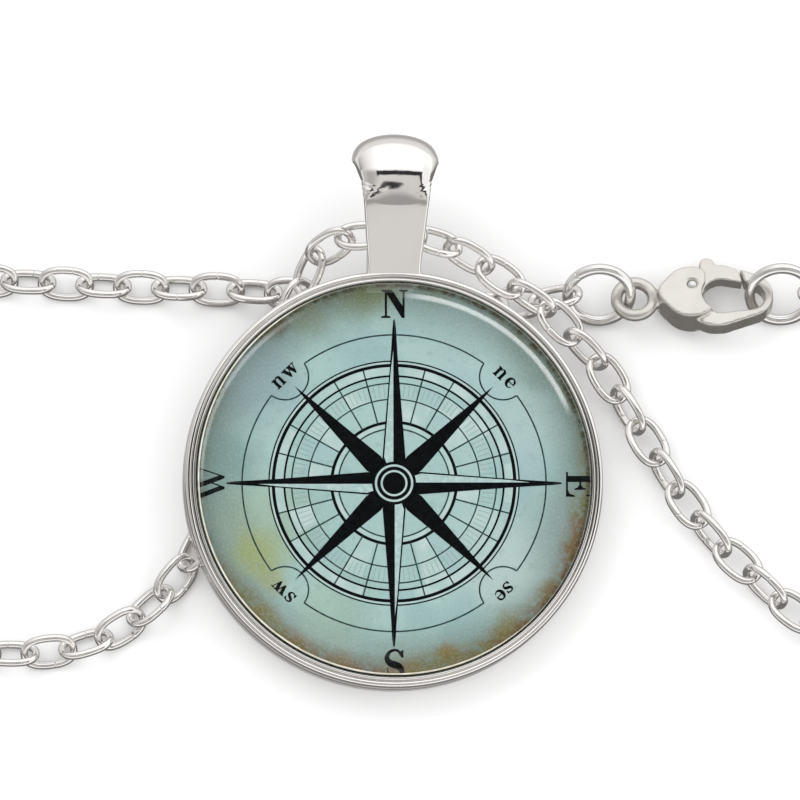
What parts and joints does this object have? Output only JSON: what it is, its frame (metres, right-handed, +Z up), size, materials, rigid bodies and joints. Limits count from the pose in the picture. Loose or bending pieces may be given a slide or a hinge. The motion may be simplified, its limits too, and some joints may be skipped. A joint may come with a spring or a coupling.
{
  "type": "compass pendant necklace",
  "caption": "Round metal tray pendant with a compass print under a domed glass, on a cable chain through its bail, with a lobster clasp, lying on a table.",
  "frame": {"origin": "table under the middle of the laid necklace, which is close to the middle of the pendant", "axes": "+X to the right along the length of the laid necklace, +Y towards the bail, +Z up from the table"},
  "size_m": [0.193, 0.0385, 0.0104],
  "materials": {
    "tray_metal": "bright silver plate, polished",
    "printed_card": "printed paper, aged aqua with brown edges and black ink",
    "clear_glass": "clear polished glass",
    "chain_metal": "bright silver plate, polished wire",
    "ring_metal": "bright silver plate, polished wire",
    "clasp_metal": "bright silver plate, polished casting",
    "pin_metal": "steel pin, riveted"
  },
  "bodies": {
    "necklace": {"tray": "tray_metal", "card": "printed_card", "glass_dome": "clear_glass", "chain_left": "chain_metal", "chain_right": "chain_metal", "end_ring": "ring_metal", "catch_ring": "ring_metal", "clasp_body": "clasp_metal", "clasp_pin": "pin_metal"},
    "lever": {"clasp_lever": "clasp_metal"}
  },
  "joints": [
    {"name": "clasp_lever_hinge", "type": "hinge", "parent": "necklace", "child": "lever", "pos_m": [0.01967, 0.01033, 0.00152], "axis": [0, 0.2588, 0.9659], "range_deg": [-22, 0], "stiffness_Nm_per_rad": 0.002}
  ]
}
